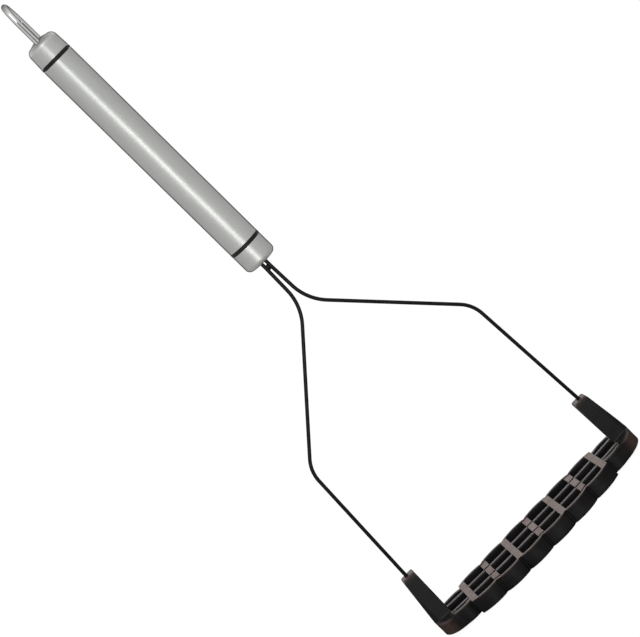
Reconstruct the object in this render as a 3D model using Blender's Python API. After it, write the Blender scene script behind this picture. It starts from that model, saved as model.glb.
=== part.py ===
"""Potato masher: a scalloped nylon grid head, two bent wire rods and a round steel handle.

The head stands on Z = 0 with its length along X and its depth along Y, and the handle rises
along +Z on the Z axis. All sizes are in metres.
"""

import math

import bmesh
import bpy
from mathutils import Matrix
from mathutils import Vector

MM = 0.001
GAP = 0.3 * MM  # air between pieces that touch, or that sit one in the other

# Handle: radii from the Z axis, heights above the sole
HANDLE_RADIUS = 8.0 * MM
HANDLE_WALL = 0.8 * MM
HANDLE_BOTTOM = 176.0 * MM
HANDLE_TOP = 311.5 * MM
RING_WIDTH = 1.5 * MM
RING_PROUD = 0.05 * MM
BOTTOM_RING_HEIGHT = 187.0 * MM
TOP_RING_HEIGHT = 300.1 * MM
EDGE_CHAMFER = 0.25 * MM
BOTTOM_CAP_ROUNDING = 2.4 * MM
TOP_CAP_ROUNDING = 3.2 * MM
TOP_CAP_CROWN = 0.9 * MM  # rise of the dome above its rounded shoulder
BOTTOM_CAP_FLOOR = 2.0 * MM
TOP_CAP_FLOOR = 3.5 * MM
PLUG_CHAMFER = 1.0 * MM
PLUG_DEPTH_IN_TUBE = 15.0 * MM

# Hanging loop: one wire bent into a narrow arch, its legs side by side from front to back
LOOP_WIRE_RADIUS = 1.4 * MM
LOOP_HALF_WIDTH = 4.6 * MM
LOOP_TOP = 332.1 * MM
LOOP_ARCH_HEIGHT = 11.0 * MM
LOOP_LEG_END = 296.0 * MM
LOOP_TURN = math.radians(-10.3)  # turn of the arch about the handle's axis

# Wire rods: corner points of the right one, as distance from the Z axis and height
ROD_RADIUS = 0.85 * MM
ROD_FOOT = (55.2 * MM, 20.5 * MM)
ROD_KNEE = (50.9 * MM, 96.4 * MM)
ROD_SHOULDER = (1.75 * MM, 150.6 * MM)
ROD_NECK = (1.15 * MM, 173.0 * MM)
ROD_END = (1.15 * MM, 192.0 * MM)
KNEE_RADIUS = 16.0 * MM
SHOULDER_RADIUS = 24.0 * MM
NECK_RADIUS = 40.0 * MM

# Grid of the head: seven cross bars joined by two ribs inside a scalloped wall
BAR_COUNT = 7
BAR_PITCH = 13.5 * MM
BAR_WIDTH = 3.4 * MM
RIB_OFFSET = 6.75 * MM
RIB_WIDTH = 2.8 * MM
HEAD_THICKNESS = 7.6 * MM
WALL_THICKNESS = 2.2 * MM
SCALLOP_COUNT = 6
SCALLOP_BULGE = 2.0 * MM
CREASE_HALF_DEPTH = 21.2 * MM
BARREL_RADIUS = 234.0 * MM
GRID_HALF_LENGTH = (BAR_COUNT - 1) / 2 * BAR_PITCH + BAR_WIDTH / 2
SCALLOP_PITCH = 2 * GRID_HALF_LENGTH / SCALLOP_COUNT
SLIT_WIDTH = 1.6 * MM
WALL_SLIT_WIDTH = 1.4 * MM
SLIT_DEPTH = 1.5 * MM

# Ends of the head: a narrower section with its own openings, then a solid elliptical nose
NOSE_START = 50.4 * MM
NOSE_LENGTH = 10.3 * MM
NOSE_HALF_DEPTH = 13.4 * MM
END_BULGE = 1.1 * MM
END_CELL_END = 51.8 * MM
END_CELL_HALF_DEPTH = 10.3 * MM
END_CELL_BULGE = 1.9 * MM

# The sole is flat in the middle and rises gently towards both ends
SOLE_FLAT_HALF_LENGTH = 8.5 * MM
ROCKER_RADIUS = 760.0 * MM

# Uprights: they rise from the noses, lean inwards and take the feet of the rods
UPRIGHT_HALF_DEPTH = 5.35 * MM
UPRIGHT_TOP = 33.0 * MM
UPRIGHT_TOP_INNER = 50.8 * MM
UPRIGHT_TOP_LENGTH = 6.7 * MM
UPRIGHT_CHAMFER_HEIGHT = 1.0 * MM
UPRIGHT_CHAMFER_DEPTH = 1.6 * MM
UPRIGHT_CHAMFER_SIDE = 0.5 * MM
ROD_HOLE_BOTTOM = 19.5 * MM

# Beyond this X the nose narrows, and its inner grid lines keep these shares of its half depth
NOSE_LINES_START = END_CELL_END + GAP
NOSE_LINE_SHARES = (0.94, 0.87, 0.80)

# Fineness of the meshes
ROUND_SIDES = 40
HOLE_SIDES = 16
WIRE_BEVEL_RESOLUTION = 4
ARC_STEP = math.radians(5)
ARCH_STEPS = 24
CROWN_STEPS = 4
STEPS_PER_SCALLOP = 8
END_STEPS = 5  # between the grid and the start of the nose
NOSE_DEGREES = (0, 20, 34, 46, 57, 67, 76, 84)  # around the nose's ellipse
CLOSEST_STATION = 0.45 * MM  # scallop stations nearer than this to a bar's side are left out
TOLERANCE = 1e-9
WELD_DISTANCE = 1e-6
SHARP_ANGLE = math.radians(30)
HEAD_SHARP_ANGLE = math.radians(35)

# Solid rows of the head's grid, from the outer wall (A) to the middle (F), by kind of column
SOLID_ROWS = {"bar": "ABCDEF", "cell": "AE", "end_cell": "CE", "end_block": "CDEF"}
ROW_NAMES = "ABCDEFEDCBA"


def clear_scene():
    """Remove every object of the open scene."""
    for thing in list(bpy.data.objects):
        bpy.data.objects.remove(thing)


def make_material(name, colour, roughness, metallic):
    """A plain Principled BSDF."""
    material = bpy.data.materials.new(name)
    material.use_nodes = True
    shader = material.node_tree.nodes["Principled BSDF"]
    shader.inputs["Base Color"].default_value = (*colour, 1.0)
    shader.inputs["Roughness"].default_value = roughness
    shader.inputs["Metallic"].default_value = metallic
    return material


def add_object(name, data, material):
    """Link new object data to the scene under the given name."""
    thing = bpy.data.objects.new(name, data)
    bpy.context.collection.objects.link(thing)
    if material is not None:
        data.materials.append(material)
    return thing


def mesh_from(bm, name, smooth_angle):
    """Turn a bmesh into a mesh, smooth up to the given edge angle."""
    bmesh.ops.recalc_face_normals(bm, faces=bm.faces)
    mesh = bpy.data.meshes.new(name)
    bm.to_mesh(mesh)
    bm.free()
    mesh.shade_smooth()
    mesh.set_sharp_from_angle(angle=smooth_angle)
    return mesh


def turned(name, profile, material):
    """Spin a closed (radius, height) profile around the Z axis."""
    bm = bmesh.new()
    verts = [bm.verts.new((radius, 0.0, height)) for radius, height in profile]
    edges = [bm.edges.new((verts[index - 1], verts[index])) for index in range(len(verts))]
    on_axis = [radius < TOLERANCE for radius, height in profile]
    kept = [e for e, pair in zip(edges, zip([on_axis[-1]] + on_axis, on_axis)) if not all(pair)]
    bmesh.ops.delete(bm, geom=[edge for edge in edges if edge not in kept], context="EDGES")
    bmesh.ops.spin(bm, geom=verts + kept, axis=(0, 0, 1), cent=(0, 0, 0), dvec=(0, 0, 0),
                   angle=2 * math.pi, steps=ROUND_SIDES, use_merge=True)
    bmesh.ops.remove_doubles(bm, verts=bm.verts, dist=WELD_DISTANCE)
    return add_object(name, mesh_from(bm, name, SHARP_ANGLE), material)


def quarter_round(centre, radius, start, steps=6):
    """Points of a quarter circle from the start angle, turning anticlockwise."""
    angles = [start + math.pi / 2 * step / steps for step in range(steps + 1)]
    return [(centre[0] + radius * math.cos(a), centre[1] + radius * math.sin(a)) for a in angles]


def wire(name, points, radius, material):
    """A round wire along the points, with closed ends."""
    curve = bpy.data.curves.new(name, "CURVE")
    curve.dimensions = "3D"
    curve.bevel_depth = radius
    curve.bevel_resolution = WIRE_BEVEL_RESOLUTION
    curve.use_fill_caps = True
    spline = curve.splines.new("POLY")
    spline.points.add(len(points) - 1)
    for spot, point in zip(spline.points, points):
        spot.co = (*point, 1.0)
    spline.use_smooth = True
    return add_object(name, curve, material)


def rounded_path(corners, radii):
    """Replace each inner corner of a polyline with an arc of its radius."""
    points = [corners[0]]
    for before, corner, after, radius in zip(corners, corners[1:], corners[2:], radii):
        arriving = (corner - before).normalized()
        leaving = (after - corner).normalized()
        bend = arriving.angle(leaving)
        side = (leaving - arriving * leaving.dot(arriving)).normalized()
        start = corner - arriving * radius * math.tan(bend / 2)
        steps = max(2, math.ceil(bend / ARC_STEP))
        for step in range(steps + 1):
            turn = bend * step / steps
            points.append(start + arriving * radius * math.sin(turn)
                          + side * radius * (1 - math.cos(turn)))
    points.append(corners[-1])
    return points


def cut(target, cutter):
    """Subtract the cutter from the target with a Boolean modifier."""
    cutter.hide_render = True
    cutter.display_type = "WIRE"
    modifier = target.modifiers.new(cutter.name, "BOOLEAN")
    modifier.operation = "DIFFERENCE"
    modifier.solver = "EXACT"
    modifier.object = cutter


def prism(bm, outline, bottom, top):
    """Add an upright prism over a flat (x, y) outline."""
    floor = bm.faces.new([bm.verts.new((x, y, bottom)) for x, y in outline])
    extruded = bmesh.ops.extrude_face_region(bm, geom=[floor], use_keep_orig=True)
    lid = [item for item in extruded["geom"] if isinstance(item, bmesh.types.BMVert)]
    bmesh.ops.translate(bm, verts=lid, vec=(0, 0, top - bottom))


def circle(centre, radius):
    """Outline of a round hole."""
    angles = [2 * math.pi * side / HOLE_SIDES for side in range(HOLE_SIDES)]
    return [(centre[0] + radius * math.cos(a), centre[1] + radius * math.sin(a)) for a in angles]


def rod_slot_outline():
    """Oblong outline that holds both rods side by side."""
    radius = ROD_RADIUS + GAP
    points = []
    for side in (1, -1):
        for step in range(HOLE_SIDES // 2 + 1):
            angle = math.pi * (step / (HOLE_SIDES // 2) - 0.5)
            points.append((side * (ROD_END[0] + radius * math.cos(angle)),
                           side * radius * math.sin(angle)))
    return points


def loop_leg_places():
    """Centres of the loop's two legs in plan."""
    across = Vector((math.sin(LOOP_TURN), -math.cos(LOOP_TURN)))
    return [across * LOOP_HALF_WIDTH, -across * LOOP_HALF_WIDTH]


def cutter_of(name, outlines, bottom, top):
    """One cutter object made of upright prisms."""
    bm = bmesh.new()
    for outline in outlines:
        prism(bm, outline, bottom, top)
    return add_object(name, mesh_from(bm, name, SHARP_ANGLE), None)


# ---- handle ---------------------------------------------------------------------------------


def make_handle_tube(material):
    """Plain tube between the two rings, with chamfered outer edges."""
    low = BOTTOM_RING_HEIGHT + RING_WIDTH / 2 + GAP
    high = TOP_RING_HEIGHT - RING_WIDTH / 2 - GAP
    inner = HANDLE_RADIUS - HANDLE_WALL
    edge = HANDLE_RADIUS - EDGE_CHAMFER
    profile = [(inner, high), (edge, high), (HANDLE_RADIUS, high - EDGE_CHAMFER),
               (HANDLE_RADIUS, low + EDGE_CHAMFER), (edge, low), (inner, low)]
    return turned("handle_tube", profile, material)


def make_accent_ring(name, height, material):
    """Flat ring between a cap and the tube."""
    inner = HANDLE_RADIUS - HANDLE_WALL
    outer = HANDLE_RADIUS + RING_PROUD
    low = height - RING_WIDTH / 2
    high = height + RING_WIDTH / 2
    profile = [(inner, high), (outer, high), (outer, low), (inner, low)]
    return turned(name, profile, material)


def make_bottom_cap(material):
    """Cup that closes the lower end, with an oblong hole for the two rods."""
    high = BOTTOM_RING_HEIGHT - RING_WIDTH / 2 - GAP
    inner = HANDLE_RADIUS - HANDLE_WALL
    rounding = quarter_round((HANDLE_RADIUS - BOTTOM_CAP_ROUNDING,
                              HANDLE_BOTTOM + BOTTOM_CAP_ROUNDING),
                             BOTTOM_CAP_ROUNDING, -math.pi / 2)
    profile = [(0.0, HANDLE_BOTTOM)] + rounding
    profile += [(HANDLE_RADIUS, high - EDGE_CHAMFER), (HANDLE_RADIUS - EDGE_CHAMFER, high),
                (inner, high), (inner, HANDLE_BOTTOM + BOTTOM_CAP_FLOOR),
                (0.0, HANDLE_BOTTOM + BOTTOM_CAP_FLOOR)]
    cap = turned("handle_bottom_cap", profile, material)
    cut(cap, cutter_of("rod_slot_cutter", [rod_slot_outline()],
                       HANDLE_BOTTOM - GAP, HANDLE_BOTTOM + BOTTOM_CAP_FLOOR + GAP))
    return cap


def make_top_cap(material):
    """Domed cup that closes the upper end, with a hole for each leg of the loop."""
    low = TOP_RING_HEIGHT + RING_WIDTH / 2 + GAP
    inner = HANDLE_RADIUS - HANDLE_WALL
    shoulder = HANDLE_TOP - TOP_CAP_CROWN
    floor = HANDLE_TOP - TOP_CAP_FLOOR
    rounding = quarter_round((HANDLE_RADIUS - TOP_CAP_ROUNDING, shoulder - TOP_CAP_ROUNDING),
                             TOP_CAP_ROUNDING, 0.0)
    crown_radius = HANDLE_RADIUS - TOP_CAP_ROUNDING
    shares = [1 - step / CROWN_STEPS for step in range(1, CROWN_STEPS + 1)]
    crown = [(crown_radius * share, shoulder + TOP_CAP_CROWN * (1 - share ** 2))
             for share in shares]
    profile = [(0.0, floor), (inner, floor), (inner, low), (HANDLE_RADIUS - EDGE_CHAMFER, low),
               (HANDLE_RADIUS, low + EDGE_CHAMFER)] + rounding + crown
    cap = turned("handle_top_cap", profile, material)
    holes = [circle(place, LOOP_WIRE_RADIUS + GAP) for place in loop_leg_places()]
    cut(cap, cutter_of("loop_hole_cutter", holes, floor - GAP, HANDLE_TOP + GAP))
    return cap


def plug_profile(low, high):
    """Profile of a solid plug that fills the handle's bore, with chamfered ends."""
    radius = HANDLE_RADIUS - HANDLE_WALL - GAP
    return [(0.0, high), (radius - PLUG_CHAMFER, high), (radius, high - PLUG_CHAMFER),
            (radius, low + PLUG_CHAMFER), (radius - PLUG_CHAMFER, low), (0.0, low)]


def make_loop_anchor_plug(material):
    """Plug under the top cap that carries the loop's legs and centres the upper ring."""
    high = HANDLE_TOP - TOP_CAP_FLOOR - GAP
    plug = turned("loop_anchor_plug",
                  plug_profile(TOP_RING_HEIGHT - PLUG_DEPTH_IN_TUBE, high), material)
    holes = [circle(place, LOOP_WIRE_RADIUS + GAP) for place in loop_leg_places()]
    cut(plug, cutter_of("leg_pocket_cutter", holes, LOOP_LEG_END - GAP, high + GAP))
    return plug


def make_rod_socket_plug(material):
    """Plug above the bottom cap that grips the ends of both rods and centres the lower ring."""
    low = HANDLE_BOTTOM + BOTTOM_CAP_FLOOR + GAP
    plug = turned("rod_socket_plug",
                  plug_profile(low, BOTTOM_RING_HEIGHT + PLUG_DEPTH_IN_TUBE), material)
    cut(plug, cutter_of("rod_pocket_cutter", [rod_slot_outline()], low - GAP, ROD_END[1] + GAP))
    return plug


def make_hanging_loop(material):
    """Wire arch: two straight legs joined by half an ellipse."""
    across = loop_leg_places()[0].normalized()
    spring_line = LOOP_TOP - LOOP_WIRE_RADIUS - LOOP_ARCH_HEIGHT
    route = [(LOOP_HALF_WIDTH, LOOP_LEG_END)]
    for step in range(ARCH_STEPS + 1):
        angle = math.pi * step / ARCH_STEPS
        route.append((LOOP_HALF_WIDTH * math.cos(angle),
                      spring_line + LOOP_ARCH_HEIGHT * math.sin(angle)))
    route.append((-LOOP_HALF_WIDTH, LOOP_LEG_END))
    points = [(across.x * offset, across.y * offset, height) for offset, height in route]
    return wire("hanging_loop", points, LOOP_WIRE_RADIUS, material)


def make_rod(name, side, material):
    """One bent wire, from its foot in the upright to its end inside the handle."""
    corners = [Vector((side * offset, 0.0, height)) for offset, height in
               (ROD_FOOT, ROD_KNEE, ROD_SHOULDER, ROD_NECK, ROD_END)]
    points = rounded_path(corners, (KNEE_RADIUS, SHOULDER_RADIUS, NECK_RADIUS))
    return wire(name, points, ROD_RADIUS, material)


# ---- head -----------------------------------------------------------------------------------


def bar_spans():
    """Left and right limits of each cross bar."""
    first = -(BAR_COUNT - 1) / 2 * BAR_PITCH
    centres = [first + index * BAR_PITCH for index in range(BAR_COUNT)]
    return [(centre - BAR_WIDTH / 2, centre + BAR_WIDTH / 2) for centre in centres]


def grid_half_depth(x):
    """Outline of the grid: a barrel curve with a bulge between each pair of creases."""
    barrel = CREASE_HALF_DEPTH - x * x / (2 * BARREL_RADIUS)
    along = (x + GRID_HALF_LENGTH) / SCALLOP_PITCH % 1.0
    return barrel + SCALLOP_BULGE * (1 - (2 * along - 1) ** 2)


def end_half_depth(x):
    """Outline of the end sections: a slight bulge, then the elliptical nose."""
    into_nose = (abs(x) - NOSE_START) / NOSE_LENGTH
    if into_nose > 0:
        return NOSE_HALF_DEPTH * math.sqrt(1 - into_nose ** 2)
    along = max(0.0, (abs(x) - GRID_HALF_LENGTH) / (NOSE_START - GRID_HALF_LENGTH))
    return NOSE_HALF_DEPTH + END_BULGE * math.sin(math.pi * along)


def end_cell_half_depth(x):
    """Inner face of the end sections' walls."""
    along = (abs(x) - GRID_HALF_LENGTH) / (END_CELL_END - GRID_HALF_LENGTH)
    return END_CELL_HALF_DEPTH + END_CELL_BULGE * math.sin(math.pi * min(1.0, max(0.0, along)))


def grid_lines(x):
    """Positive Y of the six grid lines at this X, from the outline inwards."""
    outer = grid_half_depth(x)
    end_outer = end_half_depth(x)
    lines = [outer, outer - WALL_THICKNESS, end_outer, end_cell_half_depth(x),
             RIB_OFFSET + RIB_WIDTH / 2, RIB_OFFSET - RIB_WIDTH / 2]
    if abs(x) > NOSE_LINES_START:
        limits = [end_outer * share for share in NOSE_LINE_SHARES]
        lines[3:] = [limits[0], min(lines[4], limits[1]), min(lines[5], limits[2])]
    return lines


def stations():
    """X of every cross section of the head, from left to right."""
    right = {0.0}
    for left_edge, right_edge in bar_spans():
        right.update((left_edge, right_edge))
    sides = [side for span in bar_spans() for side in span]
    for step in range(SCALLOP_COUNT * STEPS_PER_SCALLOP + 1):
        place = -GRID_HALF_LENGTH + step * SCALLOP_PITCH / STEPS_PER_SCALLOP
        crowded = any(0 < abs(place - side) < CLOSEST_STATION for side in sides)
        if step % STEPS_PER_SCALLOP == 0 or not crowded:
            right.add(place)
    for step in range(END_STEPS):
        right.add(GRID_HALF_LENGTH + step * (NOSE_START - GRID_HALF_LENGTH) / END_STEPS)
    right.add(END_CELL_END)
    for degrees in NOSE_DEGREES:
        right.add(NOSE_START + NOSE_LENGTH * math.sin(math.radians(degrees)))
    half = sorted({round(place, 7) for place in right if place > -TOLERANCE})
    return [-place for place in reversed(half[1:])] + half


def column_kind(x):
    """What lies between two stations around this X."""
    if abs(x) > END_CELL_END:
        return "end_block"
    if abs(x) > GRID_HALF_LENGTH:
        return "end_cell"
    if any(left < x < right for left, right in bar_spans()):
        return "bar"
    return "cell"


def rocker_lift(x):
    """Rise of the sole above the flat it stands on."""
    beyond = max(0.0, abs(x) - SOLE_FLAT_HALF_LENGTH)
    return beyond * beyond / (2 * ROCKER_RADIUS)


def add_head_grid(bm):
    """Build the grid column by column and return the faces that the uprights rise from."""
    places = stations()
    lines = [grid_lines(x) + [-y for y in reversed(grid_lines(x))] for x in places]
    kinds = [column_kind((left + right) / 2) for left, right in zip(places, places[1:])]
    rows = range(len(ROW_NAMES))
    solid = {(column, row) for column, kind in enumerate(kinds) for row in rows
             if ROW_NAMES[row] in SOLID_ROWS[kind]}
    corners = {}

    def corner(station, line, level):
        key = (station, line, level)
        if key not in corners:
            x = places[station]
            height = rocker_lift(x) + level * HEAD_THICKNESS
            corners[key] = bm.verts.new((x, lines[station][line], height))
        return corners[key]

    def face(*keys):
        return bm.faces.new([corner(*key) for key in keys])

    upright_faces = []
    for column, row in sorted(solid):
        near, far = column, column + 1
        top = face((near, row, 1), (near, row + 1, 1), (far, row + 1, 1), (far, row, 1))
        face((near, row, 0), (far, row, 0), (far, row + 1, 0), (near, row + 1, 0))
        if ROW_NAMES[row] == "F" and kinds[column] == "end_block":
            upright_faces.append(top)
        for station, beside in ((near, column - 1), (far, column + 1)):
            if (beside, row) not in solid:
                face((station, row, 0), (station, row + 1, 0),
                     (station, row + 1, 1), (station, row, 1))
        for line, beside in ((row, row - 1), (row + 1, row + 1)):
            if (column, beside) not in solid:
                face((near, line, 0), (far, line, 0), (far, line, 1), (near, line, 1))
    return upright_faces


def extrude_to(bm, faces, place):
    """Extrude a region of faces and move each new corner to place(old position)."""
    extruded = bmesh.ops.extrude_face_region(bm, geom=faces)["geom"]
    bmesh.ops.delete(bm, geom=faces, context="FACES")
    for item in extruded:
        if isinstance(item, bmesh.types.BMVert):
            item.co = place(item.co.copy())
    return [item for item in extruded if isinstance(item, bmesh.types.BMFace)]


def add_upright(bm, faces):
    """Raise one upright, in two steps that leave a chamfer around its top."""
    side = math.copysign(1.0, faces[0].calc_center_median().x)
    nose_tip = max(abs(vert.co.x) for face in faces for vert in face.verts)
    length = nose_tip - END_CELL_END
    top_middle = UPRIGHT_TOP_INNER + UPRIGHT_TOP_LENGTH / 2

    def below_chamfer(old):
        share = (abs(old.x) - END_CELL_END) / length
        x = UPRIGHT_TOP_INNER + share * UPRIGHT_TOP_LENGTH
        return Vector((side * x, old.y, UPRIGHT_TOP - UPRIGHT_CHAMFER_HEIGHT))

    def top(old):
        across = 1 - 2 * UPRIGHT_CHAMFER_SIDE / UPRIGHT_TOP_LENGTH
        deep = 1 - UPRIGHT_CHAMFER_DEPTH / UPRIGHT_HALF_DEPTH
        x = top_middle + (abs(old.x) - top_middle) * across
        return Vector((side * x, old.y * deep, UPRIGHT_TOP))

    extrude_to(bm, extrude_to(bm, faces, below_chamfer), top)


def make_rod_hole_cutter():
    """Two leaning round holes in the uprights, in line with the rods' feet."""
    bm = bmesh.new()
    foot = Vector((ROD_FOOT[0], 0.0, ROD_FOOT[1]))
    knee = Vector((ROD_KNEE[0], 0.0, ROD_KNEE[1]))
    lean = (knee - foot).normalized()
    low = foot + lean * (ROD_HOLE_BOTTOM - foot.z) / lean.z
    high = foot + lean * (UPRIGHT_TOP + ROD_RADIUS - foot.z) / lean.z
    turn = lean.to_track_quat("Z", "Y").to_matrix().to_4x4()
    placed = Matrix.Translation((low + high) / 2) @ turn
    for mirror in (Matrix.Identity(4), Matrix.Scale(-1, 4, (1, 0, 0))):
        bmesh.ops.create_cone(bm, cap_ends=True, segments=HOLE_SIDES, radius1=ROD_RADIUS + GAP,
                              radius2=ROD_RADIUS + GAP, depth=(high - low).length,
                              matrix=mirror @ placed)
    return add_object("rod_hole_cutter", mesh_from(bm, "rod_hole_cutter", SHARP_ANGLE), None)


def make_slit_cutter():
    """Slits that part every second bar where it crosses the ribs and where it meets the wall."""
    bm = bmesh.new()
    for left, right in bar_spans()[1::2]:
        bottom = HEAD_THICKNESS + rocker_lift(right) - SLIT_DEPTH
        top = bottom + 2 * SLIT_DEPTH
        for rib in (RIB_OFFSET, -RIB_OFFSET):
            front = rib - SLIT_WIDTH / 2
            back = rib + SLIT_WIDTH / 2
            prism(bm, [(left, front), (right, front), (right, back), (left, back)], bottom, top)
        across = [x for x in stations() if left - CLOSEST_STATION / 2 < x < right + CLOSEST_STATION / 2]
        for side in (1, -1):
            wall = [(x, side * (grid_half_depth(x) - WALL_THICKNESS)) for x in across]
            block = [(x, y - side * WALL_SLIT_WIDTH) for x, y in reversed(wall)]
            prism(bm, wall + block, bottom, top)
    return add_object("slit_cutter", mesh_from(bm, "slit_cutter", SHARP_ANGLE), None)


def make_masher_head(material):
    """One moulding: scalloped grid plate, end blocks and the two uprights."""
    bm = bmesh.new()
    upright_faces = add_head_grid(bm)
    by_side = [[face for face in upright_faces if face.calc_center_median().x * side > 0]
               for side in (-1, 1)]
    for faces in by_side:
        add_upright(bm, faces)
    head = add_object("masher_head", mesh_from(bm, "masher_head", HEAD_SHARP_ANGLE), material)
    cut(head, make_rod_hole_cutter())
    cut(head, make_slit_cutter())
    return head


def main():
    """Build every piece of the masher."""
    clear_scene()
    steel = make_material("handle_steel", (0.62, 0.63, 0.61), 0.32, 1.0)
    bright_steel = make_material("loop_steel", (0.68, 0.68, 0.67), 0.14, 1.0)
    ring_plastic = make_material("ring_plastic", (0.018, 0.017, 0.017), 0.42, 0.0)
    plug_plastic = make_material("plug_plastic", (0.22, 0.22, 0.22), 0.6, 0.0)
    rod_coating = make_material("rod_coating", (0.02, 0.018, 0.018), 0.35, 0.0)
    nylon = make_material("head_nylon", (0.016, 0.014, 0.015), 0.5, 0.0)
    make_hanging_loop(bright_steel)
    make_top_cap(steel)
    make_loop_anchor_plug(plug_plastic)
    make_accent_ring("top_accent_ring", TOP_RING_HEIGHT, ring_plastic)
    make_handle_tube(steel)
    make_accent_ring("bottom_accent_ring", BOTTOM_RING_HEIGHT, ring_plastic)
    make_bottom_cap(steel)
    make_rod_socket_plug(plug_plastic)
    make_rod("left_rod", -1, rod_coating)
    make_rod("right_rod", 1, rod_coating)
    make_masher_head(nylon)


main()
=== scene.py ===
"""Looks of the potato masher: fine meshes, procedural materials, studio and camera.

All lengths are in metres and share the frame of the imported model: the head lies along X, its
depth is along Y, and the handle rises along +Z from above the middle of the head.
"""

import math

import bmesh
import bpy
from mathutils import Matrix, Vector


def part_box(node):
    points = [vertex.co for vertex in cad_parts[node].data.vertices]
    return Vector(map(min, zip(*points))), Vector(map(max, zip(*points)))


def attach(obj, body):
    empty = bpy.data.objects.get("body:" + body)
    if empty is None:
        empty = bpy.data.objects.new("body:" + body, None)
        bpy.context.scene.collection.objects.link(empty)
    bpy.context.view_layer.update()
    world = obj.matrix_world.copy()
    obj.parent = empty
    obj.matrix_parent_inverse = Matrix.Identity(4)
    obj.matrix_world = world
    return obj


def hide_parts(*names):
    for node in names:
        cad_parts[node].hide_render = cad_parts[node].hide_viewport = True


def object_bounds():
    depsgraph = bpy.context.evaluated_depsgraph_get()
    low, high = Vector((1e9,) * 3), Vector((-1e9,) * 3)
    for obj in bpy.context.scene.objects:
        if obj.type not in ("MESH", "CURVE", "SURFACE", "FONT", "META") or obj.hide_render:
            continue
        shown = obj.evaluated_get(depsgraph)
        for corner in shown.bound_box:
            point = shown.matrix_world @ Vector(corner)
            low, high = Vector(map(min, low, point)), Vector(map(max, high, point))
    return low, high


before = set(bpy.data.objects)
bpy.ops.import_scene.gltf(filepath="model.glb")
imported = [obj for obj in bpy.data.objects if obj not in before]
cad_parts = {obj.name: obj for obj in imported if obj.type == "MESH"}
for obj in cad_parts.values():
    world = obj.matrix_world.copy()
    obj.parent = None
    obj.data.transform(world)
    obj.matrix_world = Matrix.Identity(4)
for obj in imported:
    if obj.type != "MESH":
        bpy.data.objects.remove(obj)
CAD_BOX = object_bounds()

MM = 0.001

# Handle, from the CAD nodes' boxes
TUBE_LOW, TUBE_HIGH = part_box("handle_tube")
TOP_CAP_LOW, TOP_CAP_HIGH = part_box("handle_top_cap")
BOTTOM_CAP_LOW, BOTTOM_CAP_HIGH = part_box("handle_bottom_cap")
HANDLE_RADIUS = TUBE_HIGH.x
HANDLE_WALL = 0.8 * MM
BORE_RADIUS = HANDLE_RADIUS - HANDLE_WALL
HANDLE_SIDES = 160
EDGE_ROUNDING = 0.12 * MM
EDGE_STEPS = 4
RING_ROUNDING = 0.2 * MM
SEAM_COVER = 0.2 * MM  # how far the steel reaches over the solids' clearance beside a ring
BOTTOM_CAP_ROUNDING = 2.4 * MM
BOTTOM_CAP_STEPS = 12
BOTTOM_CAP_FLOOR = 2.0 * MM
TOP_CAP_ROUNDING = 3.2 * MM
TOP_CAP_STEPS = 16
TOP_CAP_FLOOR = 3.2 * MM
TOP_CAP_CROWN = 0.9 * MM
CROWN_STEPS = 8
TOP_CAP_TAPER = 0.3 * MM  # the cap's radius is this much smaller at its shoulder than at the ring

# Hanging loop: a wire arch, turned a little about the handle's axis
LOOP_LOW, LOOP_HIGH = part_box("hanging_loop")
LOOP_WIRE_RADIUS = 1.4 * MM
LOOP_HALF_WIDTH = 4.6 * MM
LOOP_ARCH_HEIGHT = 11.0 * MM
LOOP_ARCH_STEPS = 40
LOOP_TURN = math.radians(-10.3)
LOOP_SIDES = 40
LOOP_HOLE_GAP = 0.1 * MM
LOOP_HOLE_SIDES = 24

# Wire rods: corner points of the right one, as distance from the Z axis and height
ROD_RADIUS = 0.85 * MM
ROD_CORNERS = ((55.2 * MM, 20.5 * MM), (50.9 * MM, 96.4 * MM), (1.75 * MM, 150.6 * MM),
               (1.15 * MM, 173.0 * MM), (1.15 * MM, 192.0 * MM))
ROD_BENDS = (16.0 * MM, 24.0 * MM, 40.0 * MM)
ROD_BEND_STEP = math.radians(2)
ROD_SIDES = 28
ROD_SLOT_GAP = 0.3 * MM
ROD_SLOT_STEPS = 16

# Weld bead that ties the rods together below the handle
BEAD_LOW = 171.0 * MM
BEAD_HIGH = 173.9 * MM
BEAD_HALF_WIDTH = 0.95 * MM
BEAD_HALF_DEPTH = 0.62 * MM
BEAD_RIPPLE = 0.07  # share of the bead's depth
BEAD_RIPPLE_RATE = 5.5
BEAD_UNEVENNESS = 0.03
BEAD_UNEVEN_RATES = (3.0, 4.0)  # along X and along Z
BEAD_SQUARENESS = 0.125  # 0 leaves the bead an ellipsoid

# Grid of the head
HEAD_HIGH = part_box("masher_head")[1]
HEAD_THICKNESS = 7.6 * MM
BAR_COUNT = 7
BAR_PITCH = 13.5 * MM
BAR_WIDTH = 3.4 * MM
RIB_OFFSET = 6.75 * MM
RIB_WIDTH = 2.8 * MM
RIB_DROP = 0.3 * MM  # the ribs lie a little below the tops of the bars
WALL_THICKNESS = 2.2 * MM
SCALLOP_COUNT = 6
SCALLOP_BULGE = 2.0 * MM
CREASE_HALF_DEPTH = 21.2 * MM
BARREL_RADIUS = 234.0 * MM
GRID_HALF_LENGTH = (BAR_COUNT - 1) / 2 * BAR_PITCH + BAR_WIDTH / 2
SCALLOP_PITCH = 2 * GRID_HALF_LENGTH / SCALLOP_COUNT
SLIT_WIDTH = 1.6 * MM
WALL_SLIT_WIDTH = 1.4 * MM
SLIT_DEPTH = 1.5 * MM
SLIT_EDGE = 0.25 * MM  # rounded edge beside a slit, left without the painted top light so that it stays dark as shade
FLUTE_HALF_WIDTH = 0.75 * MM
FLUTE_FLOOR_HALF_WIDTH = 0.42 * MM
FLUTE_DEPTH = 0.5 * MM
FILLET = 0.5 * MM  # spacing of the lines that hold each rounded edge
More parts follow.
